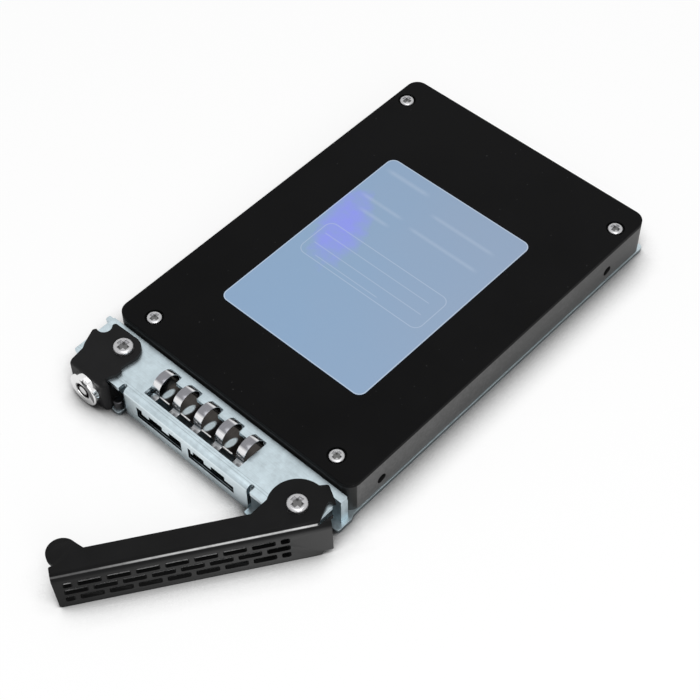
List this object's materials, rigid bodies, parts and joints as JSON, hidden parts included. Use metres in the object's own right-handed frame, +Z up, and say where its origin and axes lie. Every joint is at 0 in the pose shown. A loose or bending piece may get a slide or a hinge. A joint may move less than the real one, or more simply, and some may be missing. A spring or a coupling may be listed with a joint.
{
  "type": "hot swap drive caddy",
  "caption": "Folded steel drive carrier with a slim storage drive, a row of bowed spring fingers, a swing-out perforated cam handle and a keyed spring latch.",
  "frame": {"origin": "on the tray's underside, on the drive's centreline, level with the front face of the drive", "axes": "+X across the drive towards the handle hinge, +Y towards the connector end, +Z up through the lid"},
  "size_m": [0.0743, 0.1548, 0.0106],
  "materials": {
    "drive_black": "satin black paint",
    "screw_steel": "bright zinc plated",
    "label_blue": "satin film",
    "board_green": "solder mask",
    "chip_black": "moulded, matt",
    "connector_black": "moulded, matt",
    "contact_gold": "gold flash",
    "zinc_sheet": "zinc plated sheet, fine grain",
    "spring_steel": "bright spring strip",
    "handle_black": "satin black paint, worn at the bend",
    "lock_chrome": "satin nickel"
  },
  "bodies": {
    "carrier": {"drive_case": "drive_black", "drive_cover": "drive_black", "cover_screw_1": "screw_steel", "cover_screw_2": "screw_steel", "cover_screw_3": "screw_steel", "cover_screw_4": "screw_steel", "drive_label": "label_blue", "drive_board": "board_green", "board_screw_1": "screw_steel", "board_screw_2": "screw_steel", "board_screw_3": "screw_steel", "board_screw_4": "screw_steel", "memory_chip_1": "chip_black", "memory_chip_2": "chip_black", "memory_chip_3": "chip_black", "memory_chip_4": "chip_black", "memory_chip_5": "chip_black", "memory_chip_6": "chip_black", "controller_chip": "chip_black", "connector_housing": "connector_black", "connector_contacts": "contact_gold", "tray_plate": "zinc_sheet", "mounting_screw_1": "screw_steel", "mounting_screw_2": "screw_steel", "mounting_screw_3": "screw_steel", "mounting_screw_4": "screw_steel", "front_bracket": "zinc_sheet", "bracket_rivet_1": "screw_steel", "bracket_rivet_2": "screw_steel", "bracket_rivet_3": "screw_steel", "shield_springs": "spring_steel", "latch_stop_pin": "screw_steel", "handle_screw": "screw_steel", "handle_nut": "screw_steel", "latch_screw": "screw_steel", "latch_nut": "screw_steel"},
    "handle": {"cam_handle": "handle_black"},
    "latch": {"latch_bracket": "handle_black", "lock_housing": "lock_chrome", "lock_clip": "spring_steel"},
    "lock_core": {"lock_core": "lock_chrome", "lock_cam": "screw_steel"}
  },
  "joints": [
    {"name": "handle_swing", "type": "hinge", "parent": "carrier", "child": "handle", "pos_m": [0.029, -0.0092, 0], "axis": [0, 0, 1], "range_deg": [-55.8, 4.2]},
    {"name": "latch_swing", "type": "hinge", "parent": "carrier", "child": "latch", "pos_m": [-0.0266, -0.0055, 0], "axis": [0, 0, 1], "range_deg": [-13, 0], "stiffness_Nm_per_rad": 0.02},
    {"name": "lock_turn", "type": "hinge", "parent": "latch", "child": "lock_core", "pos_m": [-0.0279, -0.0156, 0.0042], "axis": [0, -1, 0], "range_deg": [0, 90]}
  ]
}
